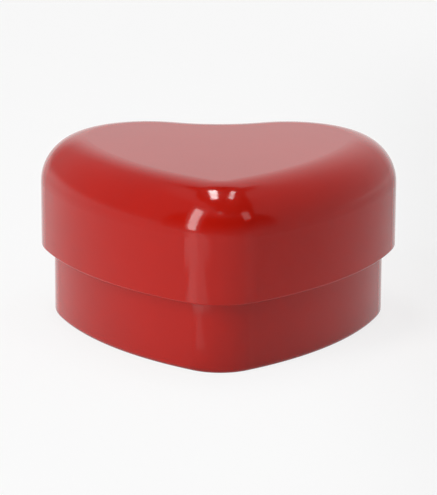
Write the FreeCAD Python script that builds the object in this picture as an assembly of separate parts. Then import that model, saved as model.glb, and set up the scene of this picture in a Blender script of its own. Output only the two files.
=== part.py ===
# Heart-shaped wind-up music box: a hinged lid over a base that holds a cylinder-and-comb movement.
# Millimetres. +Z is up, the box rests on z = 0, the heart's tip points to -Y and the hinge is at +Y.
import FreeCAD, Part
import math
import os

Vector = FreeCAD.Vector
X_AXIS = Vector(1, 0, 0)
Y_AXIS = Vector(0, 1, 0)
Z_AXIS = Vector(0, 0, 1)
RUNNING = 0.05

# Heart outline of the lid
LID_WIDTH = 110.0
LOBE_RADIUS = 33.0
CLEFT_RADIUS = 30.0
FLANK_RADIUS = 109.0
TIP_RADIUS = 19.0
LOBES_TO_TIP = 50.5

# Lid
LID_BOTTOM = 22.0
LID_TOP = 55.8
LID_WALL = 2.0
LID_TOP_ROUND = 14.0
LID_LIP_ROUND = 0.5
RIM_STOP_THICKNESS = 1.6
RIM_STOP_GAP = 0.05

# Base
OVERHANG = 4.0
BASE_WALL = 3.4
RIM_WALL = 2.2
RIM_TOP = 36.0
RIM_ROUND = 0.6
LEDGE_TOP = 33.5
BASE_EDGE_ROUND = 1.5
BOSS_RADIUS = 4.6
BOSS_REACH = 4.2
BOSS_TOP = 11.0

# Hinge in the cleft
HINGE_Y = 48.7
HINGE_Z = 19.4
KNUCKLE_RADIUS = 2.4
HINGE_PIN_RADIUS = 1.0
BASE_KNUCKLE_HALF = 4.0
LID_KNUCKLE_START = 4.2
LID_KNUCKLE_END = 9.2
HEEL_LENGTH = 4.0
WEB_FRONT = 46.65
WEB_BACK = 47.5
WEB_ROOT = 0.3

# Bottom cover
COVER_BOTTOM = 0.8
COVER_THICKNESS = 2.0
COVER_GAP = 0.25
DISH_RADIUS = 20.0
DISH_CEILING = 9.0
BED_BOTTOM = 11.0
SCREW_RADIUS = 1.2
SCREW_HEAD_RADIUS = 2.3
SCREW_HEAD_HEIGHT = 1.4

# Tray, clear plate and stop button
TRAY_GAP = 0.25
TRAY_WALL = 1.5
WELL_BACK = -18.5
WELL_FLOOR = 13.5
WELL_OFFSET = 9.4
PLATE_THICKNESS = 1.5
PLATE_X = (-33.0, 34.0)
PLATE_Y = (-15.0, 38.5)
PLATE_CORNER = 6.0
WINDOW_INSET = 4.0
WINDOW_CORNER = 3.0
PLATE_SCREW_INSET = 3.6
SMALL_SCREW_RADIUS = 0.8
SMALL_HEAD_RADIUS = 1.6
SMALL_HEAD_HEIGHT = 0.9

# Movement: where its axes run
DRIVE_X = -15.0
AXIS_Y = 18.0
BED_TOP = 13.0
GOVERNOR_DIP = 35.0

# Winding
ARBOR_RADIUS = 2.0
HOUSING_RADIUS = 12.4
HOUSING_WALL = 0.8
HOUSING_TOP = 20.0
RIVET_REACH = 1.6
RIVET_HEAD_RADIUS = 1.2
STRIP_THICKNESS = 0.4
STRIP_PITCH = 0.86
STRIP_INNER_RADIUS = 3.3
STRIP_HALF_TURNS = 18
STRIP_BOTTOM = 13.4
STRIP_HEIGHT = 5.2
KEY_SPAN = 24.0
KEY_BOTTOM = 1.4
KEY_TOP = 8.6
KEY_THICKNESS = 1.8
KEY_HUB_RADIUS = 3.3

# Drive wheel
CROWN_MODULE = 0.6
CROWN_TEETH = 40
CROWN_INNER = 11.2
CROWN_OUTER = 12.8
CROWN_BACKLASH = 0.3
DRIVE_DISC_BOTTOM = 20.4
DRIVE_DISC_THICKNESS = 1.0
DRIVE_HUB_RADIUS = 3.2
DRIVE_HUB_TOP = 26.0
CLUTCH_WIRE = 0.35
CLUTCH_PITCH = 1.2
CLUTCH_TURNS = 3

# Cylinder
PINION_TEETH = 12
DRUM_START = 0.6
DRUM_LENGTH = 20.4
DRUM_RADIUS = 6.5
DRUM_WALL = 0.7
PIN_HEIGHT = 0.9
PIN_RADIUS = 0.22
SHAFT_RADIUS = 1.0
WHEEL_MODULE = 0.4
WHEEL_TEETH = 36
WHEEL_START = 21.4
WHEEL_WIDTH = 1.2
UPRIGHT_THICKNESS = 1.6
LEFT_UPRIGHT_X = -1.6
RIGHT_UPRIGHT_X = 23.2

# Comb
NOTES = 18
NOTE_PITCH = 1.06
FIRST_NOTE_X = 1.8
COMB_GAP = 0.15
COMB_FRONT = -11.0
COMB_BODY_THICKNESS = 2.0
TOOTH_THICKNESS = 0.8
TOOTH_WIDTH = 0.82
LOW_TOOTH_LENGTH = 14.5
HIGH_TOOTH_LENGTH = 9.0
WEIGHTED_TEETH = 7

# Governor
GOVERNOR_PINION_TEETH = 9
WORM_WHEEL_TEETH = 24
WORM_STARTS = 2
WORM_RADIUS = 1.2
WORM_WHEEL_X = 26.8
WORM_WHEEL_WIDTH = 1.6
GOVERNOR_ARBOR_RADIUS = 0.75
WORM_SPINDLE_RADIUS = 0.55
WORM_HALF_LENGTH = 3.2
BRACKET_WEB_X = 29.2
BRACKET_THICKNESS = 1.2
BRACKET_ARM_BOTTOM = 24.9
FAN_RADIUS = 5.0
FAN_BOTTOM = 26.6
FAN_TOP = 30.4
FAN_BLADE = 0.5

# Stop button
STOP_GAP = 0.1
PAD_RADIUS = 1.8
PAD_HEIGHT = 1.2
STEM_RADIUS = 1.2
BUTTON_BOTTOM = 41.5
BUTTON_TOP = 43.5
BUTTON_RADIUS = 3.0
BUSH_RADIUS = 2.2
BUSH_FLANGE_RADIUS = 3.2
BUSH_FLANGE_TOP = 38.3
BUSH_TOP = 39.3
BUSH_BOTTOM = 35.0
BUTTON_WIRE = 0.2
BUTTON_TURNS = 3

# Derived places
LOBE_X = LID_WIDTH / 2 - LOBE_RADIUS
DEPTH = LOBE_RADIUS + LOBES_TO_TIP + TIP_RADIUS
LOBE_Y = DEPTH / 2 - LOBE_RADIUS
TIP_Y = LOBE_Y - LOBES_TO_TIP
CLEFT_Y = LOBE_Y + math.sqrt((LOBE_RADIUS + CLEFT_RADIUS) ** 2 - LOBE_X ** 2)
COVER_TOP = COVER_BOTTOM + COVER_THICKNESS
CAVITY_OFFSET = OVERHANG + BASE_WALL
CROWN_ROOT = DRIVE_DISC_BOTTOM + DRIVE_DISC_THICKNESS
PINION_RADIUS = CROWN_MODULE * PINION_TEETH / 2
AXIS_Z = CROWN_ROOT + 1.25 * CROWN_MODULE + PINION_RADIUS
PIN_CIRCLE = DRUM_RADIUS + PIN_HEIGHT
GEAR_CENTRES = WHEEL_MODULE * (WHEEL_TEETH + GOVERNOR_PINION_TEETH) / 2
GOVERNOR_Y = AXIS_Y + GEAR_CENTRES * math.cos(math.radians(GOVERNOR_DIP))
GOVERNOR_Z = AXIS_Z - GEAR_CENTRES * math.sin(math.radians(GOVERNOR_DIP))
WORM_WHEEL_RADIUS = WHEEL_MODULE * WORM_WHEEL_TEETH / 2
WORM_LEAD = math.pi * WHEEL_MODULE * WORM_STARTS
WORM_Y = GOVERNOR_Y + WORM_WHEEL_RADIUS + WORM_RADIUS
PAD_BOTTOM = FAN_TOP + STOP_GAP
BED_SCREWS = ((27.0, -9.0), (8.0, 31.5), (-26.5, 27.5))


def cylinder(radius, start, direction, length):
    """Round rod from a start point along a direction."""
    return Part.makeCylinder(radius, length, start, direction)


def tube(outer, inner, start, direction, length):
    """Round tube from a start point along a direction."""
    return cylinder(outer, start, direction, length).cut(cylinder(inner, start, direction, length))


def box(low, high):
    """Upright block between two corners."""
    return Part.makeBox(high[0] - low[0], high[1] - low[1], high[2] - low[2], Vector(*low))


def prism(points, extent):
    """Solid swept from a closed polygon by a vector."""
    return Part.Face(Part.makePolygon(points + [points[0]])).extrude(extent)


def fused(shapes):
    """One clean solid out of overlapping ones."""
    shape = shapes[0].fuse(shapes[1:]).removeSplitter()
    return shape.Solids[0] if len(shape.Solids) == 1 else shape


def edges_at(shape, z):
    """Edges of a shape that lie wholly in a level plane."""
    return [e for e in shape.Edges if abs(e.BoundBox.ZMin - z) < 1e-4 and abs(e.BoundBox.ZMax - z) < 1e-4]


def upright_edges(shape):
    """Straight edges of a shape that run along Z."""
    return [e for e in shape.Edges if e.BoundBox.XLength < 1e-4 and e.BoundBox.YLength < 1e-4]


def arc(centre, radius, start, end, z):
    """Arc about a centre between two angles in radians."""
    def at(angle):
        return Vector(centre[0] + radius * math.cos(angle), centre[1] + radius * math.sin(angle), z)
    return Part.Arc(at(start), at((start + end) / 2), at(end)).toShape()


def flank_centre():
    """Centre of the right flank's arc, tangent inside to the right lobe and to the tip."""
    span = math.hypot(LOBE_X, LOBES_TO_TIP)
    to_lobe = FLANK_RADIUS - LOBE_RADIUS
    to_tip = FLANK_RADIUS - TIP_RADIUS
    along = (span ** 2 + to_lobe ** 2 - to_tip ** 2) / (2 * span)
    across = math.sqrt(to_lobe ** 2 - along ** 2)
    unit_x = -LOBE_X / span
    unit_y = -LOBES_TO_TIP / span
    return LOBE_X + along * unit_x + across * unit_y, LOBE_Y + along * unit_y - across * unit_x


def heart_wire(inset, z):
    """Heart outline moved in from the lid's outline, as six tangent arcs."""
    flank = flank_centre()
    lobe_top = math.atan2(CLEFT_Y - LOBE_Y, -LOBE_X)
    lobe_side = math.atan2(LOBE_Y - flank[1], LOBE_X - flank[0])
    tip_side = math.atan2(TIP_Y - flank[1], -flank[0])
    edges = [
        arc((0, CLEFT_Y), CLEFT_RADIUS + inset, -lobe_top, lobe_top - math.pi, z),
        arc((LOBE_X, LOBE_Y), LOBE_RADIUS - inset, lobe_top, lobe_side, z),
        arc(flank, FLANK_RADIUS - inset, lobe_side, tip_side, z),
        arc((0, TIP_Y), TIP_RADIUS - inset, tip_side, -math.pi - tip_side, z),
        arc((-flank[0], flank[1]), FLANK_RADIUS - inset, -math.pi - tip_side, -math.pi - lobe_side, z),
        arc((-LOBE_X, LOBE_Y), LOBE_RADIUS - inset, math.pi - lobe_side, math.pi - lobe_top, z),
    ]
    return Part.Wire(Part.__sortEdges__(edges))


def heart(inset, low, high):
    """Solid with the heart outline between two levels."""
    return Part.Face(heart_wire(inset, low)).extrude(Vector(0, 0, high - low))


def lobe_point(angle, inset, side):
    """Point on the inset outline of one lobe, at an angle in degrees from +X on the right-hand side."""
    reach = LOBE_RADIUS - inset
    turn = math.radians(angle)
    return side * (LOBE_X + reach * math.cos(turn)), LOBE_Y + reach * math.sin(turn)


def rounded_rectangle(x_range, y_range, radius, low, high):
    """Upright block with round corners."""
    block = box((x_range[0], y_range[0], low), (x_range[1], y_range[1], high))
    return block.makeFillet(radius, upright_edges(block))


def screw(x, y, head_level, tip_level, radius, head_radius, head_height):
    """Slotted screw with a domed head outside the head level and its shank towards the tip level."""
    outward = -1.0 if tip_level > head_level else 1.0
    shank = cylinder(radius, Vector(x, y, min(head_level, tip_level)), Z_AXIS, abs(tip_level - head_level))
    head = cylinder(head_radius, Vector(x, y, head_level), Vector(0, 0, outward), head_height)
    crown = edges_at(head, head_level + outward * head_height)
    head = head.makeFillet(head_height * 0.5, crown)
    slot_low = head_level + outward * head_height * 0.55
    slot_high = head_level + outward * head_height * 1.5
    slot = box((x - head_radius, y - head_radius * 0.15, min(slot_low, slot_high)),
               (x + head_radius, y + head_radius * 0.15, max(slot_low, slot_high)))
    return fused([shank, head.cut(slot)])


def tooth_flank(radius, pitch_radius, half_angle, pressure=math.radians(20)):
    """Half angle of an involute tooth at a radius."""
    base = pitch_radius * math.cos(pressure)
    slope = math.acos(min(1.0, base / radius))
    return half_angle + (math.tan(pressure) - pressure) - (math.tan(slope) - slope)


def gear_points(module, teeth, backlash, phase, addendum=0.9, dedendum=1.25):
    """Outline of a spur gear as points in its own plane, with a tooth centred on the phase angle."""
    pitch_radius = module * teeth / 2
    half = math.pi / (2 * teeth) - backlash / (4 * pitch_radius)
    root = pitch_radius - dedendum * module
    tip = pitch_radius + addendum * module
    radii = (root, max(root, pitch_radius * 0.95), pitch_radius, (pitch_radius + tip) / 2, tip)
    points = []
    for tooth in range(teeth):
        middle = phase + 2 * math.pi * tooth / teeth
        for radius in radii:
            turn = middle - tooth_flank(radius, pitch_radius, half)
            points.append((radius * math.cos(turn), radius * math.sin(turn)))
        for radius in reversed(radii):
            turn = middle + tooth_flank(radius, pitch_radius, half)
            points.append((radius * math.cos(turn), radius * math.sin(turn)))
    return points


def cross_gear(points, x, y, z, width, bore):
    """Spur gear about an axis along X, from points given as Y and Z."""
    outline = [Vector(x, y + p[0], z + p[1]) for p in points]
    blank = prism(outline, Vector(width, 0, 0))
    return blank.cut(cylinder(bore, Vector(x, y, z), X_AXIS, width))


def biarc(start, start_way, end, end_way):
    """Two arcs that join two points and keep both directions."""
    chord = end - start
    ways = start_way + end_way
    bend = 2 * (1 - start_way.dot(end_way))
    reach = (-chord.dot(ways) + math.sqrt(chord.dot(ways) ** 2 + bend * chord.dot(chord))) / bend
    first = start + start_way * reach
    second = end - end_way * reach
    middle = (first + second) * 0.5
    arcs = []
    for low, corner, high in ((start, first, middle), (middle, second, end)):
        centre = (low + high) * 0.5
        half = (high - low).Length / 2
        rise = (corner - centre).Length
        top = centre + (corner - centre) * (half * math.tan(math.atan2(rise, half) / 2) / rise)
        arcs.append(Part.Arc(low, top, high).toShape())
    return arcs


def coil(name, x, y, low, radius, pitch, turns, wire_radius):
    """Round wire wound about an upright axis, its middle line rising from a level; prints its least gap."""
    def place(step):
        turn = step * math.pi / 2
        point = Vector(x + radius * math.cos(turn), y + radius * math.sin(turn), low + pitch * step / 4)
        way = Vector(-radius * math.sin(turn), radius * math.cos(turn), pitch / (2 * math.pi))
        return point, way.normalize()
    edges = []
    for step in range(4 * turns):
        edges.extend(biarc(*place(step), *place(step + 1)))
    path = Part.Wire(edges)
    per_turn = 60
    points = path.discretize(Number=per_turn * turns)
    print(name, "least gap", round(least_turn_gap(points, 2 * wire_radius, per_turn // 2), 3))
    point, way = place(0)
    section = Part.Wire(Part.makeCircle(wire_radius, point, way))
    return path.makePipeShell([section], True, False)


def least_turn_gap(points, thickness, skip):
    """Least distance between the surfaces of turns that lie further apart along the strip than skip points."""
    least = math.inf
    for i, first in enumerate(points):
        for second in points[i + skip:]:
            least = min(least, first.distanceToPoint(second))
    return least - thickness


def make_lid():
    """Lid: rounded shell with rim stops, a post over the stop button and two hinge knuckles."""
    outer = heart(0, LID_BOTTOM, LID_TOP)
    outer = outer.makeFillet(LID_TOP_ROUND, edges_at(outer, LID_TOP))
    outer = outer.makeFillet(LID_LIP_ROUND, edges_at(outer, LID_BOTTOM))
    ceiling = LID_TOP - LID_WALL
    hollow = heart(LID_WALL, LID_BOTTOM, ceiling)
    hollow = hollow.makeFillet(LID_TOP_ROUND - LID_WALL, edges_at(hollow, ceiling))
    shell = outer.cut(hollow)
    half = RIM_STOP_THICKNESS / 2
    stop_low = RIM_TOP + RIM_STOP_GAP
    ring = heart(LID_WALL / 2, stop_low, LID_TOP - LID_TOP_ROUND)
    ring = ring.cut(heart(OVERHANG + RIM_WALL, stop_low, LID_TOP - LID_TOP_ROUND))
    tip_stop = box((-half, -DEPTH / 2, stop_low), (half, TIP_Y, LID_TOP))
    side_stop = box((-LID_WIDTH / 2, LOBE_Y - half, stop_low), (LID_WIDTH / 2, LOBE_Y + half, LID_TOP))
    flank_stop = box((-LID_WIDTH / 2, TIP_Y / 2 - half, stop_low), (LID_WIDTH / 2, TIP_Y / 2 + half, LID_TOP))
    stops = ring.common(tip_stop.fuse([side_stop, flank_stop]))
    post_low = BUTTON_TOP + STOP_GAP
    post = Part.makeCone(BUTTON_RADIUS * 0.75, BUTTON_RADIUS, ceiling + LID_WALL / 2 - post_low,
                         Vector(WORM_WHEEL_X, WORM_Y, post_low))
    knuckles = []
    for side in (-1, 1):
        start = side * LID_KNUCKLE_START
        length = side * (LID_KNUCKLE_END - LID_KNUCKLE_START)
        barrel = cylinder(KNUCKLE_RADIUS, Vector(start, HINGE_Y, HINGE_Z), X_AXIS * side, abs(length))
        web = prism([Vector(start, HINGE_Y - KNUCKLE_RADIUS, HINGE_Z),
                     Vector(start, HINGE_Y + KNUCKLE_RADIUS / 2, HINGE_Z),
                     Vector(start, HINGE_Y + KNUCKLE_RADIUS / 2, HINGE_Z + KNUCKLE_RADIUS * 0.86),
                     Vector(start, WEB_BACK, LID_BOTTOM - 0.1),
                     Vector(start, WEB_BACK, LID_BOTTOM + WEB_ROOT),
                     Vector(start, WEB_FRONT, LID_BOTTOM + WEB_ROOT)], Vector(length, 0, 0))
        heel = prism([Vector(start, HINGE_Y - 1.0, HINGE_Z), Vector(start, HINGE_Y + 1.0, HINGE_Z),
                      Vector(start, HINGE_Y + 1.0, HINGE_Z - HEEL_LENGTH),
                      Vector(start, HINGE_Y - 1.0, HINGE_Z - HEEL_LENGTH)], Vector(length / 3, 0, 0))
        knuckles.extend([barrel, web, heel])
    lid = fused([shell, post] + stops.Solids + knuckles)
    bore = cylinder(HINGE_PIN_RADIUS + RUNNING, Vector(-LID_KNUCKLE_END, HINGE_Y, HINGE_Z), X_AXIS,
                    2 * LID_KNUCKLE_END)
    return lid.cut(bore)


def cover_screw_places():
    """Places of the screws that hold the bottom cover: one in the tip and two in each lobe."""
    inset = CAVITY_OFFSET + BOSS_REACH
    return ((0.0, -DEPTH / 2 + inset), lobe_point(-12, inset, 1), lobe_point(-12, inset, -1),
            lobe_point(45, inset, 1), lobe_point(45, inset, -1))


def make_base():
    """Base: straight heart wall with a stepped rim, screw bosses and the middle hinge knuckle."""
    wall = heart(OVERHANG, 0, RIM_TOP)
    wall = wall.makeFillet(BASE_EDGE_ROUND, edges_at(wall, 0))
    wall = wall.makeFillet(RIM_ROUND, edges_at(wall, RIM_TOP))
    wall = wall.cut(heart(CAVITY_OFFSET, 0, LEDGE_TOP))
    wall = wall.cut(heart(OVERHANG + RIM_WALL, LEDGE_TOP, RIM_TOP))
    inside = heart(OVERHANG + BASE_WALL / 2, COVER_TOP, BOSS_TOP)
    pieces = [wall]
    for x, y in cover_screw_places():
        boss = cylinder(BOSS_RADIUS, Vector(x, y, COVER_TOP), Z_AXIS, BOSS_TOP - COVER_TOP)
        pieces.append(boss.common(inside))
    start = Vector(-BASE_KNUCKLE_HALF, HINGE_Y, HINGE_Z)
    pieces.append(cylinder(KNUCKLE_RADIUS, start, X_AXIS, 2 * BASE_KNUCKLE_HALF))
    wall_y = CLEFT_Y - CLEFT_RADIUS - OVERHANG - BASE_WALL / 2
    arm = [Vector(-BASE_KNUCKLE_HALF, wall_y, HINGE_Z - 3 * KNUCKLE_RADIUS),
           Vector(-BASE_KNUCKLE_HALF, HINGE_Y, HINGE_Z - KNUCKLE_RADIUS),
           Vector(-BASE_KNUCKLE_HALF, HINGE_Y, HINGE_Z + KNUCKLE_RADIUS / 2),
           Vector(-BASE_KNUCKLE_HALF, wall_y, HINGE_Z + KNUCKLE_RADIUS / 2)]
    pieces.append(prism(arm, Vector(2 * BASE_KNUCKLE_HALF, 0, 0)))
    base = fused(pieces)
    for x, y in cover_screw_places():
        base = base.cut(cylinder(SCREW_RADIUS, Vector(x, y, COVER_TOP), Z_AXIS, BOSS_TOP - COVER_TOP - 1.0))
    return base.cut(cylinder(HINGE_PIN_RADIUS, start, X_AXIS, 2 * BASE_KNUCKLE_HALF))


def make_hinge_pin():
    """Pin through the three knuckles."""
    pin = cylinder(HINGE_PIN_RADIUS, Vector(-LID_KNUCKLE_END, HINGE_Y, HINGE_Z), X_AXIS, 2 * LID_KNUCKLE_END)
    return pin.makeChamfer(0.2, [pin.Edges[0], pin.Edges[2]])


def make_bottom_cover():
    """Bottom cover: heart plate with the key dish and two hollow posts under the bedplate."""
    plate = heart(CAVITY_OFFSET + COVER_GAP, COVER_BOTTOM, COVER_TOP)
    centre = Vector(DRIVE_X, AXIS_Y, COVER_BOTTOM)
    dish_wall = BED_BOTTOM - DISH_CEILING
    dish = cylinder(DISH_RADIUS + dish_wall, centre, Z_AXIS, BED_BOTTOM - COVER_BOTTOM)
    dish = dish.makeFillet(dish_wall, edges_at(dish, BED_BOTTOM))
    hollow = cylinder(DISH_RADIUS, centre, Z_AXIS, DISH_CEILING - COVER_BOTTOM)
    hollow = hollow.makeFillet(dish_wall, edges_at(hollow, DISH_CEILING))
    pieces = [plate, dish]
    for x, y in BED_SCREWS[:2]:
        pieces.append(cylinder(SCREW_HEAD_RADIUS * 2, Vector(x, y, COVER_BOTTOM), Z_AXIS, BED_BOTTOM - COVER_BOTTOM))
    cover = fused(pieces).cut(hollow)
    for x, y in BED_SCREWS[:2]:
        cover = cover.cut(cylinder(SCREW_HEAD_RADIUS + 0.6, Vector(x, y, COVER_BOTTOM), Z_AXIS,
                                   DISH_CEILING - COVER_BOTTOM))
    for x, y in BED_SCREWS:
        cover = cover.cut(cylinder(SCREW_RADIUS + RUNNING, Vector(x, y, DISH_CEILING), Z_AXIS, dish_wall))
    for x, y in cover_screw_places():
        cover = cover.cut(cylinder(SCREW_RADIUS + RUNNING, Vector(x, y, COVER_BOTTOM), Z_AXIS, COVER_THICKNESS))
        cover = cover.cut(cylinder(SCREW_HEAD_RADIUS + 0.3, Vector(x, y, COVER_BOTTOM), Z_AXIS, COVER_THICKNESS / 2))
    return cover.cut(cylinder(ARBOR_RADIUS + 0.6, centre, Z_AXIS, BED_BOTTOM))


def make_bottom_cover_screws():
    """Screws from below through the bottom cover into the bosses."""
    seat = COVER_BOTTOM + COVER_THICKNESS / 2
    return Part.makeCompound([screw(x, y, seat, BOSS_TOP - 2.0, SCREW_RADIUS, SCREW_HEAD_RADIUS, SCREW_HEAD_HEIGHT)
                              for x, y in cover_screw_places()])


def plate_screw_places():
    """Places of the screws at the corners of the clear plate."""
    return [(PLATE_X[0] + PLATE_SCREW_INSET, PLATE_Y[0] + PLATE_SCREW_INSET),
            (PLATE_X[1] - PLATE_SCREW_INSET, PLATE_Y[0] + PLATE_SCREW_INSET),
            (PLATE_X[0] + PLATE_SCREW_INSET, PLATE_Y[1] - PLATE_SCREW_INSET),
            (PLATE_X[1] - PLATE_SCREW_INSET, PLATE_Y[1] - PLATE_SCREW_INSET)]


def make_tray():
    """Tray: heart insert on the ledge, with a window over the movement and a trinket well in the tip."""
    plate = heart(OVERHANG + RIM_WALL + TRAY_GAP, LEDGE_TOP, RIM_TOP)
    front = box((-LID_WIDTH, -DEPTH, 0), (LID_WIDTH, WELL_BACK + TRAY_WALL, RIM_TOP))
    shell = heart(WELL_OFFSET - TRAY_WALL, WELL_FLOOR - TRAY_WALL, RIM_TOP).common(front)
    shell = shell.makeFillet(TRAY_WALL * 2, upright_edges(shell))
    well = heart(WELL_OFFSET, WELL_FLOOR, RIM_TOP)
    well = well.common(box((-LID_WIDTH, -DEPTH, 0), (LID_WIDTH, WELL_BACK, RIM_TOP)))
    well = well.makeFillet(TRAY_WALL * 2, upright_edges(well))
    shell = shell.makeFillet(TRAY_WALL * 1.5, edges_at(shell, WELL_FLOOR - TRAY_WALL))
    well = well.makeFillet(TRAY_WALL, edges_at(well, WELL_FLOOR))
    window = rounded_rectangle((PLATE_X[0] + WINDOW_INSET, PLATE_X[1] - WINDOW_INSET),
                               (PLATE_Y[0] + WINDOW_INSET, PLATE_Y[1] - WINDOW_INSET),
                               WINDOW_CORNER, LEDGE_TOP, RIM_TOP)
    tray = fused([plate, shell]).cut(window).cut(well)
    for x, y in plate_screw_places():
        corner = cylinder(SMALL_SCREW_RADIUS * 3, Vector(x, y, LEDGE_TOP), Z_AXIS, RIM_TOP - LEDGE_TOP)
        hole = cylinder(SMALL_SCREW_RADIUS, Vector(x, y, LEDGE_TOP), Z_AXIS, RIM_TOP - LEDGE_TOP)
        tray = fused([tray, corner]).cut(hole)
    return tray


def make_movement_cover():
    """Clear plate on the tray, with a hole for the stop button's bush."""
    plate = rounded_rectangle(PLATE_X, PLATE_Y, PLATE_CORNER, RIM_TOP, RIM_TOP + PLATE_THICKNESS)
    plate = plate.makeChamfer(0.4, edges_at(plate, RIM_TOP + PLATE_THICKNESS))
    for x, y in plate_screw_places():
        plate = plate.cut(cylinder(SMALL_SCREW_RADIUS + RUNNING, Vector(x, y, RIM_TOP), Z_AXIS, PLATE_THICKNESS))
    return plate.cut(cylinder(BUSH_RADIUS, Vector(WORM_WHEEL_X, WORM_Y, RIM_TOP), Z_AXIS, PLATE_THICKNESS))


def make_cover_screws():
    """Screws of the clear plate."""
    seat = RIM_TOP + PLATE_THICKNESS
    return Part.makeCompound([screw(x, y, seat, LEDGE_TOP + 0.3, SMALL_SCREW_RADIUS, SMALL_HEAD_RADIUS,
                                    SMALL_HEAD_HEIGHT) for x, y in plate_screw_places()])


def upright(x, thickness, bosses, foot):
    """Bearing plate across the X axis: round bosses joined down to a foot on the bedplate."""
    pieces = []
    for y, z, radius in bosses:
        pieces.append(cylinder(radius, Vector(x, y, z), X_AXIS, thickness))
        pieces.append(prism([Vector(x, y - radius, z), Vector(x, y + radius, z),
                             Vector(x, min(foot[1], y + radius + 1.5), BED_TOP - 0.5),
                             Vector(x, max(foot[0], y - radius - 1.5), BED_TOP - 0.5)], Vector(thickness, 0, 0)))
    return pieces


def make_bedplate():
    """Bedplate: cast plate with bearing uprights and the seat of the comb."""
    height = BED_TOP - BED_BOTTOM
    comb_right = FIRST_NOTE_X + NOTES * NOTE_PITCH
    seat_back = COMB_FRONT + 7.0
    main = rounded_rectangle((-4.0, 31.6), (-12.8, 35.0), 3.0, BED_BOTTOM, BED_TOP)
    pieces = [main, cylinder(HOUSING_RADIUS + 2.2 * RIVET_REACH, Vector(DRIVE_X, AXIS_Y, BED_BOTTOM), Z_AXIS, height)]
    x, y = BED_SCREWS[2]
    pieces.append(cylinder(SCREW_HEAD_RADIUS * 1.7, Vector(x, y, BED_BOTTOM), Z_AXIS, height))
    seat = rounded_rectangle((FIRST_NOTE_X - 2.0, comb_right + 1.4), (COMB_FRONT - 1.0, seat_back), 1.5,
                             BED_TOP - 0.5, AXIS_Z - COMB_BODY_THICKNESS / 2)
    pieces.append(seat)
    pieces += upright(LEFT_UPRIGHT_X, UPRIGHT_THICKNESS, [(AXIS_Y, AXIS_Z, 3.0)], (AXIS_Y - 6, AXIS_Y + 6))
    pieces += upright(RIGHT_UPRIGHT_X, UPRIGHT_THICKNESS, [(AXIS_Y, AXIS_Z, 3.0), (GOVERNOR_Y, GOVERNOR_Z, 2.2)],
                      (AXIS_Y - 6, GOVERNOR_Y + 4))
    bed = fused(pieces)
    bed = bed.cut(cylinder(ARBOR_RADIUS + RUNNING, Vector(DRIVE_X, AXIS_Y, BED_BOTTOM), Z_AXIS, height))
    bed = bed.cut(cylinder(SHAFT_RADIUS + RUNNING, Vector(LEFT_UPRIGHT_X - 1, AXIS_Y, AXIS_Z), X_AXIS, 40.0))
    bed = bed.cut(cylinder(GOVERNOR_ARBOR_RADIUS + RUNNING, Vector(RIGHT_UPRIGHT_X, GOVERNOR_Y, GOVERNOR_Z), X_AXIS,
                           UPRIGHT_THICKNESS))
    for x, y in BED_SCREWS:
        bed = bed.cut(cylinder(SCREW_RADIUS, Vector(x, y, BED_BOTTOM), Z_AXIS, height))
    for x, y in comb_screw_places():
        bed = bed.cut(cylinder(SMALL_SCREW_RADIUS, Vector(x, y, BED_TOP), Z_AXIS, AXIS_Z - BED_TOP))
    for x, y in bracket_screw_places():
        bed = bed.cut(cylinder(SMALL_SCREW_RADIUS, Vector(x, y, BED_BOTTOM), Z_AXIS, height))
    for x, y in rivet_places():
        bed = bed.cut(cylinder(SMALL_SCREW_RADIUS, Vector(x, y, BED_BOTTOM), Z_AXIS, height))
    worm_foot = Vector(WORM_WHEEL_X, WORM_Y, BED_BOTTOM + 1.0)
    return bed.cut(cylinder(WORM_SPINDLE_RADIUS + RUNNING, worm_foot, Z_AXIS, height))


def make_movement_screws():
    """Screws from below that hold the bedplate on the dish and the posts."""
    return Part.makeCompound([screw(x, y, DISH_CEILING, BED_TOP, SCREW_RADIUS, SCREW_HEAD_RADIUS, SCREW_HEAD_HEIGHT)
                              for x, y in BED_SCREWS])


def rivet_places():
    """Places of the rivets round the spring housing."""
    reach = HOUSING_RADIUS + RIVET_REACH
    return [(DRIVE_X + reach * math.cos(math.radians(a)), AXIS_Y + reach * math.sin(math.radians(a)))
            for a in (90, 205, 320)]


def make_spring_housing():
    """Spring housing: upturned cup with three riveted ears."""
    centre = Vector(DRIVE_X, AXIS_Y, BED_TOP)
    cup = cylinder(HOUSING_RADIUS, centre, Z_AXIS, HOUSING_TOP - BED_TOP)
    cup = cup.makeFillet(HOUSING_WALL * 1.2, edges_at(cup, HOUSING_TOP))
    pieces = [cup]
    for x, y in rivet_places():
        pieces.append(cylinder(RIVET_HEAD_RADIUS * 1.5, Vector(x, y, BED_TOP), Z_AXIS, HOUSING_WALL))
    cup = fused(pieces)
    cup = cup.cut(cylinder(HOUSING_RADIUS - HOUSING_WALL, centre, Z_AXIS, HOUSING_TOP - BED_TOP - HOUSING_WALL))
    for x, y in rivet_places():
        cup = cup.cut(cylinder(SMALL_SCREW_RADIUS, Vector(x, y, BED_TOP), Z_AXIS, HOUSING_WALL))
    return cup.cut(cylinder(ARBOR_RADIUS + RUNNING, centre, Z_AXIS, HOUSING_TOP))


def make_housing_rivets():
    """Rivets through the ears of the spring housing."""
    rivets = []
    for x, y in rivet_places():
        shank = cylinder(SMALL_SCREW_RADIUS, Vector(x, y, BED_BOTTOM), Z_AXIS, BED_TOP + HOUSING_WALL - BED_BOTTOM)
        head = cylinder(RIVET_HEAD_RADIUS, Vector(x, y, BED_TOP + HOUSING_WALL), Z_AXIS, 0.6)
        head = head.makeFillet(0.4, edges_at(head, BED_TOP + HOUSING_WALL + 0.6))
        rivets.append(fused([shank, head]))
    return Part.makeCompound(rivets)


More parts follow.
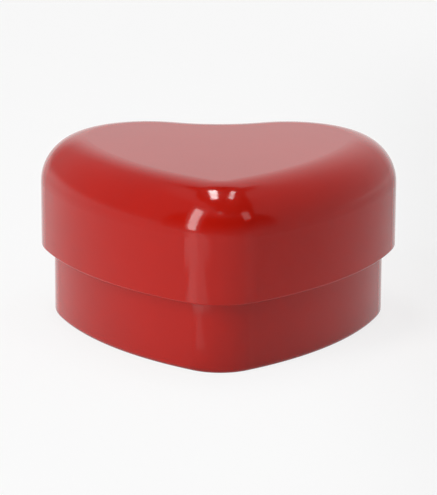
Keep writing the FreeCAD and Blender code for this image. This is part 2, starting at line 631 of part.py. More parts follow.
def make_mainspring():
    """Mainspring: flat strip wound outwards in half-turn arcs; prints its least gap."""
    def side(shift):
        edges = []
        radius = STRIP_INNER_RADIUS + shift
        centre_x = DRIVE_X
        for step in range(STRIP_HALF_TURNS):
            turn = step * math.pi
            edges.append(arc((centre_x, AXIS_Y), radius, turn, turn + math.pi, STRIP_BOTTOM))
            drift = STRIP_PITCH / 2
            centre_x += drift if step % 2 == 0 else -drift
            radius += drift
        return edges
    inner = side(0)
    outer = side(STRIP_THICKNESS)
    starts = [inner[0].valueAt(inner[0].FirstParameter), outer[0].valueAt(outer[0].FirstParameter)]
    ends = [inner[-1].valueAt(inner[-1].LastParameter), outer[-1].valueAt(outer[-1].LastParameter)]
    caps = [Part.makeLine(*starts), Part.makeLine(*ends)]
    outline = Part.Wire(Part.__sortEdges__(inner + outer + caps))
    middle = Part.Wire(side(STRIP_THICKNESS / 2))
    gap = least_turn_gap(middle.discretize(Distance=0.3), STRIP_THICKNESS, 30)
    print("mainspring least gap", round(gap, 3))
    return Part.Face(outline).extrude(Vector(0, 0, STRIP_HEIGHT))


def make_winding_arbor():
    """Arbor from the key up through the spring to the drive wheel, with a collar that holds the spring's end."""
    rod = cylinder(ARBOR_RADIUS, Vector(DRIVE_X, AXIS_Y, KEY_BOTTOM + 1.0), Z_AXIS, DRIVE_HUB_TOP + 2.0 - KEY_BOTTOM)
    rod = rod.makeChamfer(0.3, edges_at(rod, DRIVE_HUB_TOP + 3.0))
    collar = cylinder(STRIP_INNER_RADIUS - 0.4, Vector(DRIVE_X, AXIS_Y, STRIP_BOTTOM), Z_AXIS, STRIP_HEIGHT)
    groove = tube(ARBOR_RADIUS + 1, ARBOR_RADIUS - 0.4, Vector(DRIVE_X, AXIS_Y, DRIVE_HUB_TOP + 0.6), Z_AXIS, 0.8)
    return fused([rod, collar]).cut(groove)


def make_winding_key():
    """Butterfly key: flat wings with a round hole each on a bored hub."""
    wing = KEY_SPAN / 4
    height = KEY_TOP - KEY_BOTTOM
    middle_z = (KEY_TOP + KEY_BOTTOM) / 2
    lobe_radius = height / 2
    half = KEY_THICKNESS / 2
    reach = KEY_SPAN / 2 - lobe_radius
    pieces = []
    for side in (-1, 1):
        centre = Vector(DRIVE_X + side * reach, AXIS_Y - half, middle_z)
        disc = cylinder(lobe_radius, centre, Y_AXIS, KEY_THICKNESS)
        waist = prism([Vector(DRIVE_X, AXIS_Y - half, middle_z - lobe_radius * 0.6),
                       Vector(centre.x, AXIS_Y - half, middle_z - lobe_radius * 0.9),
                       Vector(centre.x, AXIS_Y - half, middle_z + lobe_radius * 0.9),
                       Vector(DRIVE_X, AXIS_Y - half, middle_z + lobe_radius * 0.6)], Vector(0, KEY_THICKNESS, 0))
        pieces.extend([disc, waist])
    wings = fused(pieces)
    rims = [e for e in wings.Edges if e.BoundBox.YLength < 1e-4]
    wings = wings.makeFillet(half * 0.5, rims)
    for side in (-1, 1):
        eye = Vector(DRIVE_X + side * reach, AXIS_Y - half - 1, middle_z)
        wings = wings.cut(cylinder(wing * 0.27, eye, Y_AXIS, KEY_THICKNESS + 2))
    hub = cylinder(KEY_HUB_RADIUS, Vector(DRIVE_X, AXIS_Y, KEY_BOTTOM), Z_AXIS, height)
    hub = hub.makeFillet(0.6, edges_at(hub, KEY_BOTTOM))
    bore = cylinder(ARBOR_RADIUS, Vector(DRIVE_X, AXIS_Y, KEY_BOTTOM + 1.0), Z_AXIS, height)
    return fused([wings, hub]).cut(bore)


def make_arbor_clip():
    """Open retaining ring in the arbor's groove."""
    low = Vector(DRIVE_X, AXIS_Y, DRIVE_HUB_TOP + 0.7)
    ring = tube(ARBOR_RADIUS + 1.2, ARBOR_RADIUS - 0.4, low, Z_AXIS, 0.6)
    mouth = box((DRIVE_X - 1.2, AXIS_Y - 5, low.z), (DRIVE_X + 1.2, AXIS_Y, low.z + 1))
    return ring.cut(mouth)


def make_drive_wheel():
    """Drive wheel: disc with radial crown teeth on its upper face, spokes cut out, and a tall hub."""
    centre = Vector(DRIVE_X, AXIS_Y, DRIVE_DISC_BOTTOM)
    disc = cylinder(CROWN_OUTER, centre, Z_AXIS, DRIVE_DISC_THICKNESS)
    pitch = math.pi * CROWN_MODULE
    slope = math.tan(math.radians(20))
    root_half = (pitch - CROWN_BACKLASH) / 4 + 1.25 * CROWN_MODULE * slope
    tip_half = (pitch - CROWN_BACKLASH) / 4 - 0.9 * CROWN_MODULE * slope
    tip_z = CROWN_ROOT + 2.15 * CROWN_MODULE
    inner_x = DRIVE_X + CROWN_INNER
    tooth = prism([Vector(inner_x, AXIS_Y - root_half, CROWN_ROOT - 0.1), Vector(inner_x, AXIS_Y - tip_half, tip_z),
                   Vector(inner_x, AXIS_Y + tip_half, tip_z), Vector(inner_x, AXIS_Y + root_half, CROWN_ROOT - 0.1)],
                  Vector(CROWN_OUTER - CROWN_INNER - 0.1, 0, 0))
    pieces = [disc]
    for step in range(CROWN_TEETH):
        copy = tooth.copy()
        copy.rotate(centre, Z_AXIS, (step + 0.5) * 360 / CROWN_TEETH)
        pieces.append(copy)
    pieces.append(cylinder(DRIVE_HUB_RADIUS, centre, Z_AXIS, DRIVE_HUB_TOP - DRIVE_DISC_BOTTOM))
    wheel = fused(pieces)
    for step in range(5):
        turn = math.radians(72 * step + 36)
        hole = Vector(DRIVE_X + 7.4 * math.cos(turn), AXIS_Y + 7.4 * math.sin(turn), DRIVE_DISC_BOTTOM)
        wheel = wheel.cut(cylinder(2.4, hole, Z_AXIS, DRIVE_DISC_THICKNESS))
    return wheel.cut(cylinder(ARBOR_RADIUS + RUNNING, centre, Z_AXIS, DRIVE_HUB_TOP))


def make_clutch_spring():
    """Coil round the drive wheel's hub, which grips it in one direction only."""
    radius = DRIVE_HUB_RADIUS + CLUTCH_WIRE + 0.15
    return coil("clutch spring", DRIVE_X, AXIS_Y, CROWN_ROOT + 2 * CLUTCH_WIRE, radius, CLUTCH_PITCH, CLUTCH_TURNS,
                CLUTCH_WIRE)


def pin_angles(note):
    """Angles of one note's pins round the drum, in degrees, spread by a fixed rule that gives no known tune."""
    count = 5 + (note * 5) % 4
    first = (note * 137.5) % 360
    return [first + 360.0 / count * (k + 0.22 * math.sin(3.1 * k + note)) for k in range(count)]


def make_cylinder():
    """Cylinder: closed brass drum with the tune's pins standing in one ring per note."""
    start = Vector(DRUM_START, AXIS_Y, AXIS_Z)
    drum = cylinder(DRUM_RADIUS, start, X_AXIS, DRUM_LENGTH)
    drum = drum.cut(cylinder(DRUM_RADIUS - DRUM_WALL, start + X_AXIS * 1.2, X_AXIS, DRUM_LENGTH - 2.4))
    drum = drum.cut(cylinder(SHAFT_RADIUS, start, X_AXIS, DRUM_LENGTH))
    corners = [(PIN_RADIUS * math.cos(math.radians(a)), PIN_RADIUS * math.sin(math.radians(a)))
               for a in (45, 135, 225, 315)]
    pins = []
    for note in range(NOTES):
        x = FIRST_NOTE_X + note * NOTE_PITCH
        for angle in pin_angles(note):
            base = [Vector(x + c[0], AXIS_Y + c[1], AXIS_Z + DRUM_RADIUS - 0.4) for c in corners]
            pin = prism(base, Vector(0, 0, PIN_HEIGHT + 0.4))
            pin.rotate(Vector(x, AXIS_Y, AXIS_Z), X_AXIS, angle)
            pins.append(pin)
    return fused([drum] + pins)


def make_cylinder_shaft():
    """Shaft of the cylinder from upright to upright."""
    start = LEFT_UPRIGHT_X - 2.8
    end = RIGHT_UPRIGHT_X + UPRIGHT_THICKNESS + 0.6
    shaft = cylinder(SHAFT_RADIUS, Vector(start, AXIS_Y, AXIS_Z), X_AXIS, end - start)
    return shaft.makeChamfer(0.2, [shaft.Edges[0], shaft.Edges[2]])


def make_cylinder_pinion():
    """Pinion on the cylinder's shaft, one tooth down between two crown teeth."""
    points = gear_points(CROWN_MODULE, PINION_TEETH, CROWN_BACKLASH, -math.pi / 2)
    start = DRIVE_X + CROWN_INNER + 0.1
    return cross_gear(points, start, AXIS_Y, AXIS_Z, CROWN_OUTER - CROWN_INNER - 0.3, SHAFT_RADIUS)


def make_cylinder_wheel():
    """Wheel on the cylinder's shaft with a tooth towards the governor's pinion."""
    points = gear_points(WHEEL_MODULE, WHEEL_TEETH, 0.14, math.radians(-GOVERNOR_DIP), 0.75)
    return cross_gear(points, WHEEL_START, AXIS_Y, AXIS_Z, WHEEL_WIDTH, SHAFT_RADIUS)


def comb_screw_places():
    """Places of the comb's screws."""
    left = FIRST_NOTE_X + 1.6
    right = FIRST_NOTE_X + (NOTES - 1) * NOTE_PITCH - 1.6
    y = COMB_FRONT + 3.2
    return [(left, y), ((left + right) / 2, y), (right, y)]


def tooth_length(note):
    """Free length of one tooth, from the low notes at the left to the high notes at the right."""
    return LOW_TOOTH_LENGTH + (HIGH_TOOTH_LENGTH - LOW_TOOTH_LENGTH) * note / (NOTES - 1)


def make_comb():
    """Comb: thick body and thin teeth whose slots grow shorter towards the high notes."""
    tip_y = AXIS_Y - PIN_CIRCLE - COMB_GAP
    left = FIRST_NOTE_X - NOTE_PITCH / 2
    right = left + NOTES * NOTE_PITCH
    outline = [Vector(right, COMB_FRONT, 0), Vector(left, COMB_FRONT, 0)]
    for note in range(NOTES):
        x = FIRST_NOTE_X + note * NOTE_PITCH
        root = tip_y - tooth_length(note)
        outline += [Vector(x - TOOTH_WIDTH / 2, root, 0), Vector(x - TOOTH_WIDTH / 2, tip_y, 0),
                    Vector(x + TOOTH_WIDTH / 2, tip_y, 0), Vector(x + TOOTH_WIDTH / 2, root, 0)]
    teeth = prism(outline, Vector(0, 0, TOOTH_THICKNESS))
    teeth.translate(Vector(0, 0, AXIS_Z - TOOTH_THICKNESS / 2))
    low = AXIS_Z - COMB_BODY_THICKNESS / 2
    edge_low = tip_y - LOW_TOOTH_LENGTH
    edge_high = tip_y - HIGH_TOOTH_LENGTH
    body = prism([Vector(left, COMB_FRONT, low), Vector(right, COMB_FRONT, low), Vector(right, edge_high, low),
                  Vector(left, edge_low, low)], Vector(0, 0, COMB_BODY_THICKNESS))
    comb = fused([teeth, body])
    for x, y in comb_screw_places():
        comb = comb.cut(cylinder(SMALL_SCREW_RADIUS + RUNNING, Vector(x, y, low), Z_AXIS, COMB_BODY_THICKNESS))
    return comb


def make_comb_weights():
    """Tuning weights under the free ends of the low teeth."""
    tip_y = AXIS_Y - PIN_CIRCLE - COMB_GAP
    top = AXIS_Z - TOOTH_THICKNESS / 2
    weights = []
    for note in range(WEIGHTED_TEETH):
        x = FIRST_NOTE_X + note * NOTE_PITCH
        half = TOOTH_WIDTH / 2
        length = 5.0 - 0.45 * note
        drop = 2.6 - 0.2 * note
        weights.append(prism([Vector(x - half, tip_y - 1.2, top), Vector(x - half, tip_y - 1.2 - length, top),
                              Vector(x - half, tip_y - 0.6 - length, top - drop),
                              Vector(x - half, tip_y - 1.8, top - drop)], Vector(TOOTH_WIDTH, 0, 0)))
    return Part.makeCompound(weights)


def make_comb_screws():
    """Screws of the comb."""
    seat = AXIS_Z + COMB_BODY_THICKNESS / 2
    return Part.makeCompound([screw(x, y, seat, AXIS_Z - 6.0, SMALL_SCREW_RADIUS, SMALL_HEAD_RADIUS * 1.1,
                                    SMALL_HEAD_HEIGHT) for x, y in comb_screw_places()])


def bracket_screw_places():
    """Places of the governor bracket's screws."""
    return [(WORM_WHEEL_X, WORM_Y - 9.6), (WORM_WHEEL_X - 2.6, WORM_Y + 1.0)]


def make_governor_bracket():
    """Governor bracket: bent plate with a foot, a web with the cross shaft's bearing and an arm over the worm."""
    left = WORM_WHEEL_X - 4.6
    right = BRACKET_WEB_X + BRACKET_THICKNESS
    front = GOVERNOR_Y - 5.6
    back = WORM_Y + 3.0
    top = BRACKET_ARM_BOTTOM + BRACKET_THICKNESS
    block = box((left, front, BED_TOP), (right, back, top))
    bends = [e for e in block.Edges if e.BoundBox.YLength > 1 and abs(e.BoundBox.XMin - right) < 1e-4
             and e.BoundBox.XLength < 1e-4 and e.BoundBox.ZLength < 1e-4]
    block = block.makeFillet(BRACKET_THICKNESS * 1.4, bends)
    core = box((left - 1, front - 1, BED_TOP + BRACKET_THICKNESS), (BRACKET_WEB_X, back + 1, BRACKET_ARM_BOTTOM))
    inner = [e for e in core.Edges if e.BoundBox.YLength > 1 and abs(e.BoundBox.XMin - BRACKET_WEB_X) < 1e-4
             and e.BoundBox.XLength < 1e-4 and e.BoundBox.ZLength < 1e-4]
    core = core.makeFillet(BRACKET_THICKNESS * 0.4, inner)
    bracket = block.cut(core)
    arm_front = WORM_Y - 2.0
    bracket = bracket.cut(box((left - 1, front - 1, GOVERNOR_Z + 3.0), (right + 1, arm_front, top + 1)))
    bracket = bracket.cut(box((left - 1, front - 1, BRACKET_ARM_BOTTOM - 0.1),
                              (WORM_WHEEL_X - 2.4, back + 1, top + 1)))
    bracket = bracket.cut(box((left - 1, front - 1, BED_TOP), (RIGHT_UPRIGHT_X + UPRIGHT_THICKNESS + 0.3,
                                                               WORM_Y - 1.6, BED_TOP + BRACKET_THICKNESS)))
    spindle = cylinder(WORM_SPINDLE_RADIUS + RUNNING, Vector(WORM_WHEEL_X, WORM_Y, BED_TOP), Z_AXIS, top)
    bearing = cylinder(GOVERNOR_ARBOR_RADIUS + RUNNING, Vector(BRACKET_WEB_X, GOVERNOR_Y, GOVERNOR_Z), X_AXIS, 5.0)
    bracket = bracket.cut([spindle, bearing])
    for x, y in bracket_screw_places():
        bracket = bracket.cut(cylinder(SMALL_SCREW_RADIUS + RUNNING, Vector(x, y, BED_TOP), Z_AXIS, BRACKET_THICKNESS))
    return bracket


def make_bracket_screws():
    """Screws of the governor bracket."""
    seat = BED_TOP + BRACKET_THICKNESS
    return Part.makeCompound([screw(x, y, seat, BED_BOTTOM + 0.2, SMALL_SCREW_RADIUS, SMALL_HEAD_RADIUS * 0.8,
                                    SMALL_HEAD_HEIGHT * 0.8) for x, y in bracket_screw_places()])


def make_governor_arbor():
    """Cross shaft of the governor."""
    end = BRACKET_WEB_X + BRACKET_THICKNESS + 0.4
    start = WHEEL_START - 0.2
    return cylinder(GOVERNOR_ARBOR_RADIUS, Vector(start, GOVERNOR_Y, GOVERNOR_Z), X_AXIS, end - start)


def make_governor_pinion():
    """Pinion of the cross shaft with a gap towards the cylinder's wheel."""
    facing = math.radians(180 - GOVERNOR_DIP) + math.pi / GOVERNOR_PINION_TEETH
    points = gear_points(WHEEL_MODULE, GOVERNOR_PINION_TEETH, 0.14, facing, 0.8, 1.2)
    return cross_gear(points, WHEEL_START, GOVERNOR_Y, GOVERNOR_Z, WHEEL_WIDTH, GOVERNOR_ARBOR_RADIUS)


def make_worm_wheel():
    """Helical wheel whose teeth follow the worm's lead, with a gap towards the worm."""
    pitch = math.pi / WORM_WHEEL_TEETH
    outline = gear_points(WHEEL_MODULE, WORM_WHEEL_TEETH, 0.2, pitch, 0.8)
    twist = WORM_LEAD / (2 * math.pi * WORM_RADIUS) / WORM_WHEEL_RADIUS * WORM_WHEEL_WIDTH / 2
    sections = []
    for side in (-1, 1):
        turn = side * twist
        points = [Vector(WORM_WHEEL_X + side * WORM_WHEEL_WIDTH / 2,
                         GOVERNOR_Y + p[0] * math.cos(turn) - p[1] * math.sin(turn),
                         GOVERNOR_Z + p[0] * math.sin(turn) + p[1] * math.cos(turn)) for p in outline]
        sections.append(Part.makePolygon(points + [points[0]]))
    blank = Part.makeLoft(sections, True, True)
    bore = cylinder(GOVERNOR_ARBOR_RADIUS, Vector(WORM_WHEEL_X - 5, GOVERNOR_Y, GOVERNOR_Z), X_AXIS, 10.0)
    return blank.cut(bore)


def make_worm_shaft():
    """Upright spindle with a two-start right-hand worm at the level of the cross shaft."""
    slope = math.tan(math.radians(20))
    root = WORM_RADIUS - 1.2 * WHEEL_MODULE
    tip = WORM_RADIUS + 0.9 * WHEEL_MODULE
    thickness = math.pi * WHEEL_MODULE / 2 - 0.12
    buried = root - 0.07
    low = GOVERNOR_Z - WORM_HALF_LENGTH - WORM_LEAD / 2
    height = 2 * WORM_HALF_LENGTH + WORM_LEAD
    helix = Part.makeHelix(WORM_LEAD, height, WORM_RADIUS)
    section = []
    for radius, side in ((buried, -1), (tip, -1), (tip, 1), (buried, 1)):
        section.append(Vector(radius, 0, side * (thickness / 2 - (radius - WORM_RADIUS) * slope)))
    thread = Part.Wire(helix).makePipeShell([Part.makePolygon(section + [section[0]])], True, True)
    pieces = [cylinder(root, Vector(0, 0, -1), Z_AXIS, height + 2)]
    for start in range(WORM_STARTS):
        copy = thread.copy()
        facing = 270 - 360 * (GOVERNOR_Z - low) / WORM_LEAD
        copy.rotate(Vector(0, 0, 0), Z_AXIS, facing + 360.0 * start / WORM_STARTS)
        pieces.append(copy)
    worm = fused(pieces)
    worm.translate(Vector(WORM_WHEEL_X, WORM_Y, low))
    reach = 2 * WORM_RADIUS
    worm = worm.common(box((WORM_WHEEL_X - reach, WORM_Y - reach, GOVERNOR_Z - WORM_HALF_LENGTH),
                           (WORM_WHEEL_X + reach, WORM_Y + reach, GOVERNOR_Z + WORM_HALF_LENGTH)))
    foot = BED_BOTTOM + 1.2
    spindle = cylinder(WORM_SPINDLE_RADIUS, Vector(WORM_WHEEL_X, WORM_Y, foot), Z_AXIS, FAN_TOP - foot)
    return fused([worm.Solids[0], spindle])


def make_fan():
    """Air brake: hub with two blades bent back at their ends."""
    centre = Vector(WORM_WHEEL_X, WORM_Y, FAN_BOTTOM)
    height = FAN_TOP - FAN_BOTTOM
    half = FAN_BLADE / 2
    bend = FAN_RADIUS * 0.68
    pieces = [cylinder(FAN_RADIUS * 0.32, centre, Z_AXIS, height)]
    blade = [(0, -half), (bend, -half), (FAN_RADIUS * 0.93, -1.5 - half), (FAN_RADIUS * 0.93 + 0.3, -1.5 + half * 0.6),
             (bend + 0.15, half), (0, half)]
    for side in (-1, 1):
        outline = [Vector(centre.x + side * x, centre.y + side * y, FAN_BOTTOM) for x, y in blade]
        pieces.append(prism(outline, Vector(0, 0, height * 0.85)))
    return fused(pieces).cut(cylinder(WORM_SPINDLE_RADIUS, centre, Z_AXIS, height))


def make_stop_plunger():
    """Stop button: domed head on a stem that runs down to the pad."""
    stem = cylinder(STEM_RADIUS, Vector(WORM_WHEEL_X, WORM_Y, PAD_BOTTOM + PAD_HEIGHT), Z_AXIS,
                    BUTTON_BOTTOM - PAD_BOTTOM - PAD_HEIGHT)
    head = cylinder(BUTTON_RADIUS, Vector(WORM_WHEEL_X, WORM_Y, BUTTON_BOTTOM), Z_AXIS, BUTTON_TOP - BUTTON_BOTTOM)
    head = head.makeFillet((BUTTON_TOP - BUTTON_BOTTOM) * 0.6, edges_at(head, BUTTON_TOP))
    return fused([stem, head])


def make_stop_pad():
    """Soft pad under the stop button's stem."""
    return cylinder(PAD_RADIUS, Vector(WORM_WHEEL_X, WORM_Y, PAD_BOTTOM), Z_AXIS, PAD_HEIGHT)


def make_plunger_spring():
    """Coil between the bush and the stop button."""
    low = BUSH_FLANGE_TOP + BUTTON_WIRE + 0.02
    high = BUTTON_BOTTOM - BUTTON_WIRE - 0.02
    pitch = (high - low) / BUTTON_TURNS
    return coil("plunger spring", WORM_WHEEL_X, WORM_Y, low, BUSH_RADIUS + 2 * BUTTON_WIRE, pitch, BUTTON_TURNS,
                BUTTON_WIRE)


def make_plunger_bush():
    """Flanged guide of the stop button in the clear plate."""
    centre = Vector(WORM_WHEEL_X, WORM_Y, BUSH_BOTTOM)
    sleeve = cylinder(BUSH_RADIUS, centre, Z_AXIS, BUSH_TOP - BUSH_BOTTOM)
    plate_top = RIM_TOP + PLATE_THICKNESS
    flange = cylinder(BUSH_FLANGE_RADIUS, Vector(WORM_WHEEL_X, WORM_Y, plate_top), Z_AXIS, BUSH_FLANGE_TOP - plate_top)
    return fused([sleeve, flange]).cut(cylinder(STEM_RADIUS + RUNNING, centre, Z_AXIS, BUSH_TOP - BUSH_BOTTOM))


PARTS = {
    "lid_shell": make_lid,
    "base_shell": make_base,
    "hinge_pin": make_hinge_pin,
    "bottom_cover": make_bottom_cover,
    "bottom_cover_screws": make_bottom_cover_screws,
    "tray": make_tray,
    "movement_cover": make_movement_cover,
    "cover_screws": make_cover_screws,
    "bedplate": make_bedplate,
    "movement_screws": make_movement_screws,
    "spring_housing": make_spring_housing,
    "housing_rivets": make_housing_rivets,
    "mainspring": make_mainspring,
    "winding_arbor": make_winding_arbor,
    "winding_key": make_winding_key,
    "arbor_clip": make_arbor_clip,
    "drive_wheel": make_drive_wheel,
    "clutch_spring": make_clutch_spring,
    "cylinder": make_cylinder,
    "cylinder_shaft": make_cylinder_shaft,
    "cylinder_pinion": make_cylinder_pinion,
    "cylinder_wheel": make_cylinder_wheel,
    "comb": make_comb,
    "comb_weights": make_comb_weights,
    "comb_screws": make_comb_screws,
    "governor_bracket": make_governor_bracket,
    "bracket_screws": make_bracket_screws,
    "governor_arbor": make_governor_arbor,
    "governor_pinion": make_governor_pinion,
    "worm_wheel": make_worm_wheel,
    "worm_shaft": make_worm_shaft,
    "fan": make_fan,
    "stop_plunger": make_stop_plunger,
    "stop_pad": make_stop_pad,
    "plunger_spring": make_plunger_spring,
    "plunger_bush": make_plunger_bush,
}

os.makedirs("parts", exist_ok=True)
for name, make in PARTS.items():
    make().exportStep("parts/" + name + ".step")
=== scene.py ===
# Looks of the heart-shaped wind-up music box: materials, wound springs, studio and camera.
# Metres, in the frame of the CAD model: +Z is up, the heart's tip points to -Y.
import math

import bpy
from mathutils import Matrix, Vector


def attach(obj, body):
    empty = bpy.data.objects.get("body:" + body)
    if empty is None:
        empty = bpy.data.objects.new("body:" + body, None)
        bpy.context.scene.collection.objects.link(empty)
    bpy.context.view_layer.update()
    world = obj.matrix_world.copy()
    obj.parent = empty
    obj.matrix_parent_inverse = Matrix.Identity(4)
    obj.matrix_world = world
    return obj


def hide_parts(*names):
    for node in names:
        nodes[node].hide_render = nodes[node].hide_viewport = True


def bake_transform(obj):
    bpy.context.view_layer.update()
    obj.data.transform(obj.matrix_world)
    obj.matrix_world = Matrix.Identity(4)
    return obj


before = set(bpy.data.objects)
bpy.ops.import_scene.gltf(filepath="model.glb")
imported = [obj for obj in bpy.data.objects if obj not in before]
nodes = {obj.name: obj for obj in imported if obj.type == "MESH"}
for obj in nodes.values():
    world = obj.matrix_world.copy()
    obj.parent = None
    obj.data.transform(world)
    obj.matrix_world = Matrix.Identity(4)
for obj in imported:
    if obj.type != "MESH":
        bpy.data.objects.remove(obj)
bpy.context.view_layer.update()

MM = 0.001
UP = Vector((0, 0, 1))
DOWN = Vector((0, 0, -1))

# Colours, linear
RED = (0.447, 0.006, 0.001)
SATIN_RED = (0.40, 0.012, 0.010)
BURGUNDY = (0.16, 0.008, 0.014)
PILE_SHEEN = (0.75, 0.18, 0.2, 1.0)
STEEL = (0.60, 0.60, 0.61)
PLATED_STEEL = (0.66, 0.65, 0.63)
SPRING_STEEL = (0.36, 0.37, 0.40)
COMB_STEEL = (0.66, 0.67, 0.69)
ZINC = (0.52, 0.53, 0.54)
BRASS = (0.80, 0.56, 0.22)
LEAD = (0.20, 0.21, 0.23)
NYLON = (0.78, 0.77, 0.70)
FAN_WHITE = (0.70, 0.70, 0.68)
BUTTON_BLACK = (0.018, 0.018, 0.019)
RUBBER_BLACK = (0.03, 0.03, 0.031)
CLEAR = (0.985, 0.99, 0.99)
HAZY_CLEAR = (0.955, 0.97, 0.97)
PAPER = (0.74, 0.74, 0.74)
DARK_PAPER = (0.3, 0.3, 0.3)

# Scales of the axes that draw tool marks out into lines
ALONG_X = (0.04, 1.0, 1.0)
ALONG_Y = (1.0, 0.03, 1.0)
ROUND_X = (1.0, 0.03, 0.03)
ROUND_Z = (0.03, 0.03, 1.0)
TURNED_FACE = (0.35, 1.0, 0.2)

# Spring of the stop button
BUTTON_AXIS = Vector((26.8, 31.372, 0.0)) * MM
BUSH_FLANGE_TOP = 38.3 * MM
BUTTON_BOTTOM = 41.5 * MM
BUTTON_WIRE_RADIUS = 0.2 * MM
BUTTON_COIL_RADIUS = 2.6 * MM
BUTTON_END_ROOM = 1.1 * BUTTON_WIRE_RADIUS
BUTTON_TURNS = 3.5
BUTTON_SEAT_TURNS = 0.5

# Wrap spring of the winding clutch
DRIVE_AXIS = Vector((-15.0, 18.0, 0.0)) * MM
WRAP_WIRE_RADIUS = 0.35 * MM
WRAP_COIL_RADIUS = 3.7 * MM
WRAP_BOTTOM = 22.1 * MM
WRAP_PITCH = 1.2 * MM
WRAP_TURNS = 3

# Mainspring strip
STRIP_TURNS = 9
STRIP_PITCH = 0.86 * MM
STRIP_INNER = 3.3 * MM
STRIP_HALF_THICKNESS = 0.2 * MM
STRIP_BOTTOM = 13.4 * MM
STRIP_HEIGHT = 5.2 * MM

# Fineness of the springs' meshes
WIRE_SIDES = 14
WIRE_STEPS_PER_TURN = 48
STRIP_STEPS_PER_TURN = 60
SHARP_ANGLE = math.radians(40)

# Stage
FLOOR_RADIUS = 2.6
FLOOR_SIDES = 96
BACKDROP_RADIUS = 2.4
BACKDROP_HEIGHT = 3.1
BACKDROP_LIFT = 0.5 * MM
BACKDROP_HALF_ANGLE = 105
BACKDROP_COLUMNS = 64
COVE_RADIUS = 0.5
COVE_STEPS = 10

# Where the paper is less white than plain: lists of (axis, start, end), and what is left past all the ends.
# Round the box, where its shadow lies, the whiteness drops so that the real shadow shows; to its right, to
# its left and towards the camera the paper is darker still, as painted shade.
FLOOR_PAINTED_SHADE_FADES = [
    ([("X", 1.5, 0.3), ("X", -1.5, -0.3), ("Y", 1.5, 0.3), ("Y", -1.5, -0.3)], 0.86),
    ([("X", 0.01, 0.2), ("X", 3.0, 0.5), ("Y", 0.5, 0.1)], 0.33),
    ([("X", -0.08, -0.4), ("X", -2.0, -0.5), ("Y", 0.5, 0.1)], 0.7),
    ([("Y", -0.2, -0.9)], 0.45),
]
# Painted shade on the backdrop: darker on the right, on the upper left and along the top edge
BACKDROP_PAINTED_SHADE_FADES = [
    ([("X", 0.7, 2.3)], 0.55),
    ([("X", -0.15, -1.2), ("Z", 0.05, 0.4)], 0.33),
    ([("Z", 2.4, 3.1)], 0.85),
]

# Brightness of the room by the height of a direction: pale skirting, dark front wall, lit ceiling
ROOM_BANDS = [(0.0, 0.55), (0.12, 0.3), (0.3, 0.12), (0.55, 0.12), (0.8, 0.67)]

# Dark panel above the lamps overhead, with its corners as seen from above
PANEL_LEVEL = 0.87
PANEL_CORNERS = [(-0.32, 0.62), (0.34, 0.62), (0.46, 0.2), (1.25, -0.4), (0.6, -0.85), (0.0, -0.85),
                 (-0.45, 0.05)]

# Lamps
LID_TIP = Vector((0.0, -45.0, 53.5)) * MM
WINDOW_DISTANCE = 0.8
CEILING = 0.854
CARD_GAP = 1.0 * MM
FACE_UP = Matrix.Rotation(math.pi, 3, "X")
BOUNCE_PLACE = (-0.075, -0.03, CARD_GAP)
BOUNCE_SIDE = 0.13
FILL_WIDTH = 0.58
FILL_HEIGHT = 0.22
# Fans of window light on the floor: azimuth from the tip, half angle, first step, brightness
GLOW_FANS = [(-52, 8, 0, 0.55), (-43, 17, 1, 0.75), (53, 8, 1, 0.12)]
GLOW_STEPS = [0.025, 0.06, 0.12, 0.25, 0.5, 1.0]

# Camera of the photograph
CAMERA_TARGET = Vector((0.0, 18.25, 30.0)) * MM
CAMERA_DISTANCE = 0.9
CAMERA_ELEVATION = math.radians(14.99)
CAMERA_YAW = math.radians(-0.60)
CAMERA_ROLL = math.radians(0.26)
CAMERA_LENS = 210.45
CAMERA_SENSOR = 36.0
AIM_DROP = 9.475 * MM
AIM_SIDE = 0.04 * MM


def fill_ramp(node, stops):
    """Sets a colour ramp to pairs of position and linear colour."""
    ramp = node.color_ramp
    while len(ramp.elements) < len(stops):
        ramp.elements.new(0.5)
    for element, (position, colour) in zip(ramp.elements, stops):
        element.position = position
        element.color = (*colour, 1.0)


